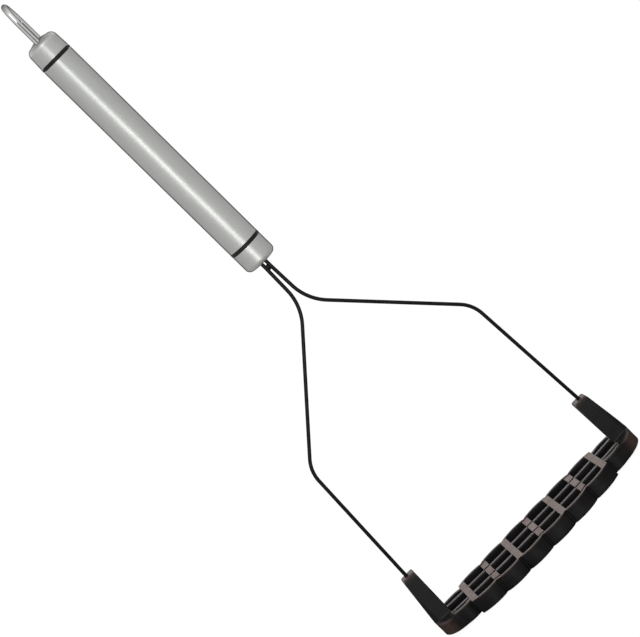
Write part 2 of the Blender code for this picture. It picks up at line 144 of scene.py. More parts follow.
RIB_FILLET = 0.9 * FILLET
WALL_FILLET = 0.8 * FILLET
STATIONS_PER_SCALLOP = 6
STATION_GAP = 0.3 * MM  # a loose control station is dropped when another is closer
HEAD_SUBDIVISIONS = 2
TINY = 1e-9

# Ends of the head and the uprights
NOSE_START = 50.4 * MM
NOSE_HALF_DEPTH = 13.4 * MM
NOSE_TIP_ANGLE = math.radians(86)
NOSE_LENGTH = (HEAD_HIGH.x - NOSE_START) / math.sin(NOSE_TIP_ANGLE)
NOSE_STATION_ANGLES = tuple(math.radians(degrees) for degrees in (52, 62, 72, 80))
SHOULDER_START = 0.76  # share of the nose's half depth where its top begins to round off
SHOULDER_DROP = 1.5 * MM
SHOULDER_LENGTH = 3.0 * MM
SHOULDER_FOOT = 3.0 * MM
END_BULGE = 1.1 * MM
END_CELL_END = 51.8 * MM
END_CELL_HALF_DEPTH = 10.3 * MM
END_CELL_BULGE = 1.9 * MM
END_CELL_STATION_SHARES = (0.3, 0.65)
SOLE_FLAT_HALF_LENGTH = 8.5 * MM
ROCKER_RADIUS = 760.0 * MM
UPRIGHT_TOP_INNER = 50.8 * MM
UPRIGHT_TOP_LENGTH = 6.7 * MM
UPRIGHT_HALF_DEPTH = RIB_OFFSET - RIB_WIDTH / 2
UPRIGHT_TIP_NARROWING = 0.9 * MM  # at the outer corners
UPRIGHT_SQUARING = 3.0  # an upright reaches its full section at one third of its height
UPRIGHT_LOWER_LINE = 13.0 * MM
UPRIGHT_UPPER_LINE = 26.0 * MM
UPRIGHT_CHAMFER_HEIGHT = 1.0 * MM
UPRIGHT_CHAMFER_DEPTH = 1.6 * MM
UPRIGHT_CHAMFER_SIDE = 0.5 * MM
CHAMFER_FILLET = 0.35 * MM
CHAMFER_SHARES = (0.3, 0.75)  # heights of the lines within the chamfer
ROD_HOLE_BOTTOM = 19.5 * MM
HOLE_CORNER = 1.2 * MM  # a square of this half width smooths to the rod's round hole

# Rubbing and painted light on the head's nylon, a mesh attribute: 1 where fully marked, 0 where new
# and bare. Its brown is partly rubbed nylon and partly painted light: lit tops, highlights and
# sheen
RUB_AND_LIGHT_ATTRIBUTE = "rub_and_top_light"
BAR_RUB_AND_TOP_LIGHT = 1.0
FRONT_WALL_PAINTED_HIGHLIGHT = 0.38
RIB_PAINTED_HIGHLIGHT = 0.18
UPRIGHT_TOP_RUB_AND_LIGHT = 0.45
NOSE_RUB_AND_SHEEN = 0.42
NOSE_RUB_AND_SHEEN_LENGTH = 5.0 * MM
NOSE_RUB_AND_SHEEN_POWER = 1.5
NOSE_UNMARKED_EDGE = 0.8 * MM  # below the top, where the rubbing and painted sheen of a nose end
BAR_UNMARKED_SIDE = 0.1 * MM
BAR_MARK_DEPTH = 0.12 * MM
RIB_MARK_DEPTH = 0.15 * MM

# Edges that stay sharp, by the angle between their faces
TURNED_SHARP = math.radians(30)
WIRE_SHARP = math.radians(40)
BEAD_SHARP = math.radians(60)
HEAD_SHARP = math.radians(80)
NEVER_SHARP = math.pi


# ---- mesh helpers ---------------------------------------------------------------------------


def add_piece(name, mesh, material, slot, *nodes):
    """Put a finished mesh in the scene as a piece that stands for its CAD nodes."""
    mesh.materials.append(material)
    piece = bpy.data.objects.new(name, mesh)
    bpy.context.scene.collection.objects.link(piece)
    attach(piece, "root")
    if nodes:
        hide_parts(*nodes)
    return piece


def finished_mesh(bm, name, sharp_angle):
    """Turn a bmesh into a smooth mesh with sharp edges above the given angle."""
    bmesh.ops.recalc_face_normals(bm, faces=bm.faces)
    mesh = bpy.data.meshes.new(name)
    bm.to_mesh(mesh)
    bm.free()
    mesh.shade_smooth()
    mesh.set_sharp_from_angle(angle=sharp_angle)
    return mesh


def with_modifiers(name, mesh, add_modifiers, sharp_angle):
    """Run modifiers on a mesh and return their result as a new mesh."""
    carrier = bpy.data.objects.new(name + "_carrier", mesh)
    bpy.context.scene.collection.objects.link(carrier)
    add_modifiers(carrier)
    bpy.context.view_layer.update()
    evaluated = carrier.evaluated_get(bpy.context.evaluated_depsgraph_get())
    result = bpy.data.meshes.new_from_object(evaluated)
    result.name = name
    bpy.data.objects.remove(carrier)
    result.shade_smooth()
    result.set_sharp_from_angle(angle=sharp_angle)
    return result


def arc(centre, radius, start, end, steps):
    """Points of an arc, angles in degrees."""
    points = []
    for step in range(steps + 1):
        angle = math.radians(start + (end - start) * step / steps)
        points.append((centre[0] + radius * math.cos(angle), centre[1] + radius * math.sin(angle)))
    return points


def turned(profile, sides):
    """Bmesh of a closed (radius, height) profile turned around the Z axis."""
    bm = bmesh.new()
    rings = []
    for radius, height in profile:
        if radius < TINY:
            rings.append([bm.verts.new((0.0, 0.0, height))])
            continue
        angles = [2 * math.pi * side / sides for side in range(sides)]
        rings.append([bm.verts.new((radius * math.cos(a), radius * math.sin(a), height))
                      for a in angles])
    for low, high in zip(rings, rings[1:] + rings[:1]):
        if len(low) == 1 and len(high) == 1:
            continue
        for side in range(sides):
            corners = [low[side % len(low)], low[(side + 1) % len(low)],
                       high[(side + 1) % len(high)], high[side % len(high)]]
            bm.faces.new(list(dict.fromkeys(corners)))
    return bm


def prism(bm, outline, bottom, top):
    """Add an upright prism over a flat outline."""
    low = [bm.verts.new((x, y, bottom)) for x, y in outline]
    high = [bm.verts.new((x, y, top)) for x, y in outline]
    bm.faces.new(low)
    bm.faces.new(high)
    for index in range(len(outline)):
        bm.faces.new((low[index - 1], low[index], high[index], high[index - 1]))


def drilled(name, mesh, outlines, bottom, top):
    """The mesh with an upright hole for each outline."""
    bm = bmesh.new()
    for outline in outlines:
        prism(bm, outline, bottom, top)
    drill_mesh = finished_mesh(bm, name + "_drill", TURNED_SHARP)
    drill = bpy.data.objects.new(name + "_drill", drill_mesh)
    bpy.context.scene.collection.objects.link(drill)
    drill.hide_render = True

    def add_boolean(carrier):
        modifier = carrier.modifiers.new("drill", "BOOLEAN")
        modifier.operation = "DIFFERENCE"
        modifier.solver = "EXACT"
        modifier.object = drill

    result = with_modifiers(name, mesh, add_boolean, TURNED_SHARP)
    bpy.data.objects.remove(drill)
    return result


def rounded_path(corners, radii, step_angle):
    """Replace each inner corner of a polyline with an arc of its radius."""
    points = [corners[0]]
    for before, corner, after, radius in zip(corners, corners[1:], corners[2:], radii):
        arriving = (corner - before).normalized()
        leaving = (after - corner).normalized()
        bend = arriving.angle(leaving)
        side = (leaving - arriving * leaving.dot(arriving)).normalized()
        start = corner - arriving * radius * math.tan(bend / 2)
        steps = max(2, math.ceil(bend / step_angle))
        for step in range(steps + 1):
            turn = bend * step / steps
            points.append(start + arriving * radius * math.sin(turn)
                          + side * radius * (1 - math.cos(turn)))
    points.append(corners[-1])
    return points


def swept(points, radius, sides, across):
    """Bmesh of a round wire along points in a plane, whose normal is across."""
    bm = bmesh.new()
    rings = []
    for index, point in enumerate(points):
        before = points[max(0, index - 1)]
        after = points[min(len(points) - 1, index + 1)]
        outwards = (after - before).normalized().cross(across)
        ring = []
        for side in range(sides):
            angle = 2 * math.pi * side / sides
            offset = across * math.cos(angle) + outwards * math.sin(angle)
            ring.append(bm.verts.new(point + offset * radius))
        rings.append(ring)
    for low, high in zip(rings, rings[1:]):
        for side in range(sides):
            bm.faces.new((low[side - 1], low[side], high[side], high[side - 1]))
    bm.faces.new(rings[0])
    bm.faces.new(rings[-1])
    return bm


# ---- materials ------------------------------------------------------------------------------


def map_range(tree, source, from_low, from_high, to_low, to_high):
    """Map a value from one range to another."""
    node = tree.nodes.new("ShaderNodeMapRange")
    node.inputs["From Min"].default_value = from_low
    node.inputs["From Max"].default_value = from_high
    node.inputs["To Min"].default_value = to_low
    node.inputs["To Max"].default_value = to_high
    tree.links.new(source, node.inputs["Value"])
    return node.outputs["Result"]


def blended(tree, factor, first, second, blend_type="MIX"):
    """Blend two colours, given as triples or sockets."""
    node = tree.nodes.new("ShaderNodeMix")
    node.data_type = "RGBA"
    node.blend_type = blend_type
    if isinstance(factor, float):
        node.inputs["Factor"].default_value = factor
    else:
        tree.links.new(factor, node.inputs["Factor"])
    for socket, colour in ((node.inputs[6], first), (node.inputs[7], second)):
        if isinstance(colour, tuple):
            socket.default_value = (*colour, 1.0)
        else:
            tree.links.new(colour, socket)
    return node.outputs[2]


def math_node(tree, operation, first, second):
    """Arithmetic on two values, given as floats or sockets."""
    node = tree.nodes.new("ShaderNodeMath")
    node.operation = operation
    for socket, value in zip(node.inputs, (first, second)):
        if isinstance(value, float):
            socket.default_value = value
        else:
            tree.links.new(value, socket)
    return node.outputs["Value"]


class Nodes:
    """Short way to write a material."""

    def __init__(self, name):
        self.material = bpy.data.materials.new(name)
        self.material.use_nodes = True
        self.tree = self.material.node_tree
        self.shader = self.tree.nodes["Principled BSDF"]
        self.place = self.tree.nodes.new("ShaderNodeTexCoord").outputs["Object"]

    def link(self, source, target):
        self.tree.links.new(source, target)

    def noise(self, scale, detail=4.0, stretch=(1.0, 1.0, 1.0), roughness=0.5):
        """Noise of about one feature per 1/scale metres, stretched along the axes."""
        mapping = self.tree.nodes.new("ShaderNodeMapping")
        mapping.inputs["Scale"].default_value = stretch
        self.link(self.place, mapping.inputs["Vector"])
        texture = self.tree.nodes.new("ShaderNodeTexNoise")
        texture.inputs["Scale"].default_value = scale
        texture.inputs["Detail"].default_value = detail
        texture.inputs["Roughness"].default_value = roughness
        self.link(mapping.outputs["Vector"], texture.inputs["Vector"])
        return texture.outputs["Fac"]

    def ranged(self, source, low, high, from_low=0.3, from_high=0.7):
        """Map a noise value, or one with limits of its own, to a range."""
        return map_range(self.tree, source, from_low, from_high, low, high)

    def mixed(self, factor, first, second):
        """Blend two colours, given as triples or sockets."""
        return blended(self.tree, factor, first, second)

    def combined(self, operation, first, second):
        """Arithmetic on two values, given as floats or sockets."""
        return math_node(self.tree, operation, first, second)

    def edges(self, low, high):
        """Grows from 0 to 1 on convex edges."""
        geometry = self.tree.nodes.new("ShaderNodeNewGeometry")
        return self.ranged(geometry.outputs["Pointiness"], 0.0, 1.0, low, high)

    def rim_shade_mask(self, low, high):
        """Grows from 0 to 1 where the surface turns away from the viewer; the mask for painted
        shade at an outline.
        """
        node = self.tree.nodes.new("ShaderNodeLayerWeight")
        return self.ranged(node.outputs["Facing"], 0.0, 1.0, low, high)

    def bump(self, height, distance, strength, normal=None):
        """Bump whose height is given in metres per unit of the source."""
        node = self.tree.nodes.new("ShaderNodeBump")
        node.inputs["Distance"].default_value = distance
        node.inputs["Strength"].default_value = strength
        self.link(height, node.inputs["Height"])
        if normal is not None:
            self.link(normal, node.inputs["Normal"])
        return node.outputs["Normal"]

    def finish(self, colour, roughness, metallic, normal=None, specular=0.5):
        """Feed the shader; the specular level is a float or a socket."""
        self.link(colour, self.shader.inputs["Base Color"])
        self.link(roughness, self.shader.inputs["Roughness"])
        self.shader.inputs["Metallic"].default_value = metallic
        if isinstance(specular, float):
            self.shader.inputs["Specular IOR Level"].default_value = specular
        else:
            self.link(specular, self.shader.inputs["Specular IOR Level"])
        if normal is not None:
            self.link(normal, self.shader.inputs["Normal"])
        return self.material


def satin_steel():
    """Satin stainless steel: fine lengthwise brushing, faint clouding, and painted shade that turns
    it almost black at its outline.
    """
    nodes = Nodes("satin_steel")
    grain = nodes.noise(900.0, detail=3.0, stretch=(1.0, 1.0, 0.03))
    clouds = nodes.noise(70.0, detail=2.0, stretch=(1.0, 1.0, 0.35))
    dull, bright, painted_rim_shade = (0.63, 0.64, 0.62), (0.69, 0.70, 0.675), (0.05, 0.05, 0.049)
    colour = nodes.mixed(nodes.ranged(clouds, 0.0, 1.0), dull, bright)
    # painted shade: the colour turns almost black where the surface faces away from the viewer
    colour = nodes.mixed(nodes.rim_shade_mask(0.60, 0.77), colour, painted_rim_shade)
    roughness = nodes.combined("ADD", nodes.ranged(grain, -0.03, 0.03),
                               nodes.ranged(clouds, 0.40, 0.45))
    normal = nodes.bump(grain, 0.003 * MM, 0.3)
    return nodes.finish(colour, roughness, 1.0, normal)


def polished_steel():
    """Bright wire with faint drawing marks, and painted shade that darkens it at its outline."""
    nodes = Nodes("polished_steel")
    marks = nodes.noise(1400.0, detail=2.0, stretch=(1.0, 1.0, 0.05))
    clouds = nodes.noise(200.0, detail=2.0)
    dull, bright, painted_rim_shade = (0.82, 0.82, 0.81), (0.88, 0.88, 0.87), (0.12, 0.12, 0.12)
    colour = nodes.mixed(nodes.ranged(clouds, 0.0, 1.0), dull, bright)
    # painted shade: the colour darkens where the surface faces away from the viewer
    colour = nodes.mixed(nodes.rim_shade_mask(0.20, 0.62), colour, painted_rim_shade)
    roughness = nodes.combined("ADD", nodes.ranged(marks, -0.02, 0.02),
                               nodes.ranged(clouds, 0.10, 0.13))
    return nodes.finish(colour, roughness, 1.0)


def ring_plastic():
    """Black plastic of the accent rings."""
    nodes = Nodes("ring_plastic_black")
    grain = nodes.noise(2500.0, detail=3.0)
    clouds = nodes.noise(260.0, detail=2.0)
    dark, pale = (0.008, 0.0072, 0.0072), (0.013, 0.012, 0.012)
    colour = nodes.mixed(nodes.ranged(clouds, 0.0, 1.0), dark, pale)
    roughness = nodes.ranged(grain, 0.38, 0.48)
    normal = nodes.bump(grain, 0.015 * MM, 0.4)
    return nodes.finish(colour, roughness, 0.0, normal, specular=0.25)


def plug_plastic():
    """Grey plastic of the plugs hidden inside the handle."""
    nodes = Nodes("plug_plastic_grey")
    grain = nodes.noise(1800.0, detail=3.0)
    dark, pale = (0.20, 0.20, 0.20), (0.25, 0.25, 0.245)
    colour = nodes.mixed(nodes.ranged(grain, 0.0, 1.0), dark, pale)
    roughness = nodes.ranged(grain, 0.52, 0.66)
    return nodes.finish(colour, roughness, 0.0, nodes.bump(grain, 0.03 * MM, 0.4))


def rod_coating():
    """Semi-gloss black coating, slightly uneven."""
    nodes = Nodes("rod_coating_black")
    flow = nodes.noise(420.0, detail=2.0, stretch=(1.0, 1.0, 0.4))
    specks = nodes.noise(3000.0, detail=2.0)
    dark, pale = (0.006, 0.0052, 0.0056), (0.010, 0.0088, 0.0092)
    colour = nodes.mixed(nodes.ranged(flow, 0.0, 1.0), dark, pale)
    roughness = nodes.combined("ADD", nodes.ranged(specks, -0.03, 0.03),
                               nodes.ranged(flow, 0.20, 0.26))
    normal = nodes.bump(flow, 0.04 * MM, 0.35, nodes.bump(specks, 0.01 * MM, 0.4))
    return nodes.finish(colour, roughness, 0.0, normal, specular=0.15)


def head_nylon():
    """Black nylon: fine moulded grain, faint flow marks, paler convex edges that are partly rubbed
    and partly painted highlight, and frosted brown that is partly rubbed nylon and partly painted
    top light, highlight and sheen.
    """
    nodes = Nodes("head_nylon_black")
    grain = nodes.noise(2200.0, detail=3.0)
    flow = nodes.noise(120.0, detail=3.0, stretch=(0.5, 1.0, 1.6))
    speckle = nodes.noise(900.0, detail=2.0)
    dark, pale = (0.0075, 0.0062, 0.0066), (0.0125, 0.0104, 0.0108)
    edge_rub_and_highlight_grey, rubbed_and_lit_brown = (0.035, 0.031, 0.030), (0.212, 0.132, 0.107)
    colour = nodes.mixed(nodes.ranged(flow, 0.0, 1.0), dark, pale)
    # paler convex edges: partly rubbed nylon, partly a painted highlight along rounded edges
    colour = nodes.mixed(nodes.combined("MULTIPLY", nodes.edges(0.52, 0.62), 0.35), colour,
                         edge_rub_and_highlight_grey)
    rub_and_light_node = nodes.tree.nodes.new("ShaderNodeAttribute")
    rub_and_light_node.attribute_name = RUB_AND_LIGHT_ATTRIBUTE
    frosting = nodes.noise(1300.0, detail=3.0, stretch=(1.4, 0.6, 1.0))
    rubbed_and_lit = nodes.combined("MULTIPLY", rub_and_light_node.outputs["Fac"], nodes.ranged(frosting, 0.58, 1.0))
    # brown that is partly rubbed nylon and partly painted light: lit tops of bars and uprights,
    # highlights on ribs and the front wall's top, sheen on the noses
    colour = nodes.mixed(rubbed_and_lit, colour, rubbed_and_lit_brown)
    roughness = nodes.combined("ADD", nodes.ranged(speckle, -0.05, 0.05),
                               nodes.ranged(flow, 0.40, 0.50))
    normal = nodes.bump(grain, 0.03 * MM, 0.35, nodes.bump(flow, 0.15 * MM, 0.2))
    # rubbed nylon is duller than new; the same mask carries the painted top light, so that stays
    # dull too
    gloss = nodes.ranged(rubbed_and_lit, 0.36, 0.20, 0.0, 1.0)
    return nodes.finish(colour, roughness, 0.0, normal, gloss)


# ---- handle ---------------------------------------------------------------------------------


def lower_edge(radius, height, rounding, steps=EDGE_STEPS):
    """Rounded outer edge of a turned profile that starts at a height."""
    return arc((radius - rounding, height + rounding), rounding, -90, 0, steps)


def upper_edge(radius, height, rounding, steps=EDGE_STEPS):
    """Rounded outer edge of a turned profile that ends at a height."""
    return arc((radius - rounding, height - rounding), rounding, 0, 90, steps)


def make_tube(material):
    """The grip, with rounded outer edges close to the rings."""
    low, high = TUBE_LOW.z - SEAM_COVER, TUBE_HIGH.z + SEAM_COVER
    profile = [(BORE_RADIUS, low)]
    profile += lower_edge(HANDLE_RADIUS, low, EDGE_ROUNDING)
    profile += [(HANDLE_RADIUS, low + 2 * EDGE_ROUNDING), (HANDLE_RADIUS, high - 2 * EDGE_ROUNDING)]
    profile += upper_edge(HANDLE_RADIUS, high, EDGE_ROUNDING)
    profile += [(BORE_RADIUS, high)]
    mesh = finished_mesh(turned(profile, HANDLE_SIDES), "grip_tube", TURNED_SHARP)
    add_piece("grip_tube", mesh, material, "handle_steel", "handle_tube")


def make_ring(node, material):
    """One accent ring with rounded outer edges."""
    low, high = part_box(node)
    profile = [(BORE_RADIUS, low.z)]
    profile += lower_edge(high.x, low.z, RING_ROUNDING)
    profile += upper_edge(high.x, high.z, RING_ROUNDING)
    profile += [(BORE_RADIUS, high.z)]
    mesh = finished_mesh(turned(profile, HANDLE_SIDES), node + "_fine", TURNED_SHARP)
    add_piece(node + "_fine", mesh, material, "ring_plastic", node)


def rod_slot_outline():
    """Oblong outline that holds both rods side by side."""
    radius = ROD_RADIUS + ROD_SLOT_GAP
    centre = ROD_CORNERS[-1][0]
    right = arc((centre, 0.0), radius, -90, 90, ROD_SLOT_STEPS)
    left = arc((-centre, 0.0), radius, 90, 270, ROD_SLOT_STEPS)
    return right + left


def make_bottom_cap(material):
    """Cup at the lower end, with the oblong hole for the rods."""
    low, high = BOTTOM_CAP_LOW.z, BOTTOM_CAP_HIGH.z + SEAM_COVER
    floor = low + BOTTOM_CAP_FLOOR
    profile = [(0.0, low)]
    profile += lower_edge(HANDLE_RADIUS, low, BOTTOM_CAP_ROUNDING, BOTTOM_CAP_STEPS)
    profile += [(HANDLE_RADIUS, low + BOTTOM_CAP_ROUNDING + EDGE_ROUNDING),
                (HANDLE_RADIUS, high - 2 * EDGE_ROUNDING)]
    profile += upper_edge(HANDLE_RADIUS, high, EDGE_ROUNDING)
    profile += [(BORE_RADIUS, high), (BORE_RADIUS, floor), (0.0, floor)]
    mesh = finished_mesh(turned(profile, HANDLE_SIDES), "bottom_cap", TURNED_SHARP)
    mesh = drilled("bottom_cap", mesh, [rod_slot_outline()], low - MM, floor + MM)
    add_piece("bottom_cap", mesh, material, "handle_steel", "handle_bottom_cap")


def loop_direction():
    """Unit vector from the handle's axis to the near leg of the loop."""
    return Vector((math.sin(LOOP_TURN), -math.cos(LOOP_TURN), 0.0))


def make_top_cap(material):
    """Domed cup at the upper end, with a hole for each leg of the loop."""
    low, high = TOP_CAP_LOW.z - SEAM_COVER, TOP_CAP_HIGH.z
    shoulder = high - TOP_CAP_CROWN
    floor = high - TOP_CAP_FLOOR
    shoulder_radius = HANDLE_RADIUS - TOP_CAP_TAPER
    crown_radius = shoulder_radius - TOP_CAP_ROUNDING
    profile = [(0.0, floor), (BORE_RADIUS, floor), (BORE_RADIUS, low)]
    profile += lower_edge(HANDLE_RADIUS, low, EDGE_ROUNDING)
    profile += [(HANDLE_RADIUS, low + 2 * EDGE_ROUNDING),
                (shoulder_radius, shoulder - TOP_CAP_ROUNDING - EDGE_ROUNDING)]
    profile += upper_edge(shoulder_radius, shoulder, TOP_CAP_ROUNDING, TOP_CAP_STEPS)
    for step in range(1, CROWN_STEPS + 1):
        share = 1 - step / CROWN_STEPS
        profile.append((crown_radius * share, shoulder + TOP_CAP_CROWN * (1 - share ** 2)))
    mesh = finished_mesh(turned(profile, HANDLE_SIDES), "top_cap", TURNED_SHARP)
    across = loop_direction() * LOOP_HALF_WIDTH
    last_angle = 360 - 360 / LOOP_HOLE_SIDES
    holes = [arc((side * across.x, side * across.y), LOOP_WIRE_RADIUS + LOOP_HOLE_GAP,
                 0, last_angle, LOOP_HOLE_SIDES - 1) for side in (1, -1)]
    mesh = drilled("top_cap", mesh, holes, floor - MM, high + MM)
    add_piece("top_cap", mesh, material, "handle_steel", "handle_top_cap")


def make_loop(material):
    """Wire arch: two legs joined by half an ellipse."""
    across = loop_direction()
    spring_line = LOOP_HIGH.z - LOOP_WIRE_RADIUS - LOOP_ARCH_HEIGHT
    route = [(LOOP_HALF_WIDTH, LOOP_LOW.z)]
    for step in range(LOOP_ARCH_STEPS + 1):
        angle = math.pi * step / LOOP_ARCH_STEPS
        route.append((LOOP_HALF_WIDTH * math.cos(angle),
                      spring_line + LOOP_ARCH_HEIGHT * math.sin(angle)))
    route.append((-LOOP_HALF_WIDTH, LOOP_LOW.z))
    points = [across * offset + Vector((0.0, 0.0, height)) for offset, height in route]
    normal = across.cross(Vector((0.0, 0.0, 1.0)))
    bm = swept(points, LOOP_WIRE_RADIUS, LOOP_SIDES, normal)
    mesh = finished_mesh(bm, "loop_wire", WIRE_SHARP)
    add_piece("loop_wire", mesh, material, "loop_steel", "hanging_loop")


# ---- rods -----------------------------------------------------------------------------------


def make_rod(name, side, material):
    """One bent wire with its foot and its upper end inside other pieces."""
    corners = [Vector((side * offset, 0.0, height)) for offset, height in ROD_CORNERS]
    points = rounded_path(corners, ROD_BENDS, ROD_BEND_STEP)
    bm = swept(points, ROD_RADIUS, ROD_SIDES, Vector((0.0, 1.0, 0.0)))
    mesh = finished_mesh(bm, name + "_wire", WIRE_SHARP)
    add_piece(name + "_wire", mesh, material, "rod_coating", name)


def make_weld_bead(material):
    """Rippled bead that fills the gap between the rods."""
    bm = bmesh.new()
    bmesh.ops.create_icosphere(bm, subdivisions=4, radius=1.0)
    middle = (BEAD_LOW + BEAD_HIGH) / 2
    half_height = (BEAD_HIGH - BEAD_LOW) / 2
    x_rate, z_rate = BEAD_UNEVEN_RATES
    for vert in bm.verts:
        x, y, z = vert.co
        ripple = (1 + BEAD_RIPPLE * math.cos(BEAD_RIPPLE_RATE * z)
                  + BEAD_UNEVENNESS * math.sin(x_rate * x + z_rate * z))
        boxy = (x ** 4 + y ** 4 + z ** 4) ** -BEAD_SQUARENESS
        vert.co = (x * boxy * BEAD_HALF_WIDTH, y * ripple * BEAD_HALF_DEPTH,
                   middle + z * boxy * half_height)
    mesh = finished_mesh(bm, "weld_bead", BEAD_SHARP)
    add_piece("weld_bead", mesh, material, "rod_coating")


# ---- head -----------------------------------------------------------------------------------


def bar_centres():
    """X of each cross bar's middle."""
    return [(index - (BAR_COUNT - 1) / 2) * BAR_PITCH for index in range(BAR_COUNT)]


def grid_half_depth(x):
    """Outline of the grid: a barrel curve with a bulge between each pair of creases."""
    barrel = CREASE_HALF_DEPTH - x * x / (2 * BARREL_RADIUS)
    along = (x + GRID_HALF_LENGTH) / SCALLOP_PITCH % 1.0
    return barrel + SCALLOP_BULGE * (1 - (2 * along - 1) ** 2)


def creases():
    """X of the creases between neighbouring scallops."""
    return [index * SCALLOP_PITCH - GRID_HALF_LENGTH for index in range(1, SCALLOP_COUNT)]


def flute_depth(x):
    """How deep the narrow flute in each crease cuts into the outline."""
    beside = min(abs(x - crease) for crease in creases())
    slope = FLUTE_HALF_WIDTH - FLUTE_FLOOR_HALF_WIDTH
    return FLUTE_DEPTH * min(1.0, max(0.0, (FLUTE_HALF_WIDTH - beside) / slope))


def end_half_depth(x):
    """Outline of the end sections: a slight bulge, then the elliptical nose."""
    into_nose = (abs(x) - NOSE_START) / NOSE_LENGTH
    if into_nose > 0:
        return NOSE_HALF_DEPTH * math.sqrt(max(0.0, 1 - into_nose ** 2))
    along = max(0.0, (abs(x) - GRID_HALF_LENGTH) / (NOSE_START - GRID_HALF_LENGTH))
    return NOSE_HALF_DEPTH + END_BULGE * math.sin(math.pi * along)


def end_cell_half_depth(x):
    """Inner face of the end sections' walls."""
    along = (abs(x) - GRID_HALF_LENGTH) / (END_CELL_END - GRID_HALF_LENGTH)
    return END_CELL_HALF_DEPTH + END_CELL_BULGE * math.sin(math.pi * min(1.0, max(0.0, along)))


def rocker_lift(x):
    """Rise of the sole above the flat it stands on."""
    beyond = max(0.0, abs(x) - SOLE_FLAT_HALF_LENGTH)
    return beyond * beyond / (2 * ROCKER_RADIUS)


# Control lines along X, from the outline to the middle. Each row lies between two of them.
LINE_COUNT = 21
ROW_BANDS = (["wall"] * 3 + ["wall_slit"] + ["outer_bay"] * 3 + ["end_wall"] * 3
             + ["end_bay"] * 3 + ["rib"] * 2 + ["rib_slit"] + ["rib"] * 2 + ["core"] * 2)
ROWS = ROW_BANDS + ["hole"] + ROW_BANDS[::-1]
SOLID_BANDS = {
    "bar": set(ROWS),
    "split_bar": set(ROWS),
    "cell": {"wall", "rib", "rib_slit"},
    "end_cell": {"end_wall", "rib", "rib_slit"},
    "end_block": set(ROWS) - {"wall", "wall_slit", "outer_bay"},
    "hole_block": set(ROWS) - {"wall", "wall_slit", "outer_bay"},
}
# Share of the nose's half depth that each line from the end's outline inwards keeps
NOSE_SHARES = (1.0, 0.965, 0.935, 0.92, 0.905, 0.89, 0.875, 0.86, 0.845, 0.83, 0.815, 0.80,
               0.74, 0.22)


def half_lines(x):
    """Positive Y of the control lines at this X, from the outline inwards."""
    outer = grid_half_depth(x)
    inner = outer - WALL_THICKNESS
    end_outer = end_half_depth(x)
    end_inner = end_cell_half_depth(x)
    rib_outer = RIB_OFFSET + RIB_WIDTH / 2
    rib_inner = RIB_OFFSET - RIB_WIDTH / 2
    fluted = outer - flute_depth(x)
    lines = [fluted, fluted - FILLET, inner + WALL_FILLET, inner, inner - WALL_SLIT_WIDTH,
             inner - WALL_SLIT_WIDTH - FILLET, NOSE_HALF_DEPTH + END_BULGE + FILLET,
             end_outer, end_outer - FILLET, end_inner + FILLET, end_inner, end_inner - FILLET,
             rib_outer + RIB_FILLET, rib_outer, rib_outer - RIB_FILLET,
             RIB_OFFSET + SLIT_WIDTH / 2, RIB_OFFSET - SLIT_WIDTH / 2,
             rib_inner + RIB_FILLET, rib_inner, rib_inner - FILLET, HOLE_CORNER]
    if abs(x) > END_CELL_END + FILLET:
        first = lines.index(end_outer)
        limits = [end_outer * share for share in NOSE_SHARES]
        lines[first:] = [min(line, limit) for line, limit in zip(lines[first:], limits)]
    return lines


def half_stations():
    """X of the control stations of the right half, out to just past the end block's face."""
    fixed = []
    for crease in creases():
        fixed += [crease + offset for offset in (-FLUTE_HALF_WIDTH, -FLUTE_FLOOR_HALF_WIDTH,
                                                 FLUTE_FLOOR_HALF_WIDTH, FLUTE_HALF_WIDTH)]
    loose = []
    for centre in bar_centres():
        for edge in (centre - BAR_WIDTH / 2, centre + BAR_WIDTH / 2):
            fixed.append(edge)
            loose += [edge - FILLET, edge + FILLET]
    fixed += [END_CELL_END, NOSE_START - FILLET]
    for index in range(SCALLOP_COUNT * STATIONS_PER_SCALLOP):
        loose.append(-GRID_HALF_LENGTH + index * SCALLOP_PITCH / STATIONS_PER_SCALLOP)
    loose += [END_CELL_END - FILLET, END_CELL_END + FILLET]
    loose += [GRID_HALF_LENGTH + (NOSE_START - GRID_HALF_LENGTH) * share
              for share in END_CELL_STATION_SHARES]
    kept = [place for place in fixed if place > -TINY]
    for place in loose:
        if place > -TINY and all(abs(place - other) > STATION_GAP for other in kept):
            kept.append(place)
    return sorted(kept)


def rod_offset(height):
    """Distance of the rod's axis from the Z axis at a height, below its knee."""
    (foot_x, foot_z), (knee_x, knee_z) = ROD_CORNERS[:2]
    return foot_x + (knee_x - foot_x) * (height - foot_z) / (knee_z - foot_z)


def nose_stations():
    """X of the stations beyond the end block's inner face, at the level of the plate."""
    hole = rod_offset(HEAD_THICKNESS)
    around_hole = [hole - HOLE_CORNER, hole + HOLE_CORNER]
    rounded = [NOSE_START + NOSE_LENGTH * math.sin(angle) for angle in NOSE_STATION_ANGLES]
    return around_hole + rounded + [HEAD_HIGH.x]


RIGHT_STATIONS = half_stations() + nose_stations()
HOLE_STATION = len(half_stations())
STATIONS = [-place for place in reversed(RIGHT_STATIONS[1:])] + RIGHT_STATIONS
MIDDLE_STATION = len(RIGHT_STATIONS) - 1

